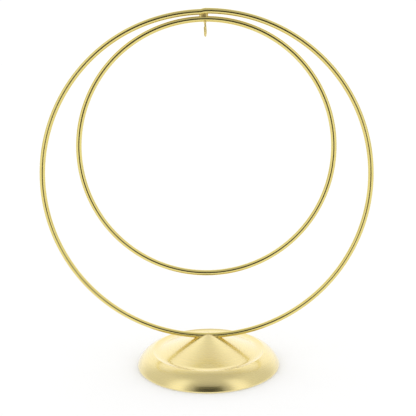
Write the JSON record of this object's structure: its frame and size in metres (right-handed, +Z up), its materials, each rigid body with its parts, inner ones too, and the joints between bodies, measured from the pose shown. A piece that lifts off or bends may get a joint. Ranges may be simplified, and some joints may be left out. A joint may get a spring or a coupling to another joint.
{
  "type": "wreath frame",
  "caption": "Free-standing wreath frame: nested rod hoops joined at the top, with an ornament hook, on a round weighted base with a conical centre.",
  "frame": {"origin": "middle of the flat underside that the base rests on", "axes": "+Z up, +X to the right along the hoops' plane, -Y out of the front, the way the ornament hook opens"},
  "size_m": [0.3, 0.1328, 0.325],
  "materials": {
    "gold_rod": "polished",
    "gold_sheet": "satin",
    "plain_steel": "satin",
    "cast_iron": "matte",
    "felt": "matte"
  },
  "bodies": {
    "root": {"outer_hoop": "gold_rod", "inner_hoop": "gold_rod", "hoop_lug": "gold_rod", "ornament_hook": "gold_rod", "base_shell": "gold_sheet", "hoop_foot": "plain_steel", "ballast_disc": "cast_iron", "base_screw": "plain_steel", "flat_washer": "plain_steel", "lock_washer": "plain_steel", "felt_pad": "felt"}
  },
  "joints": []
}
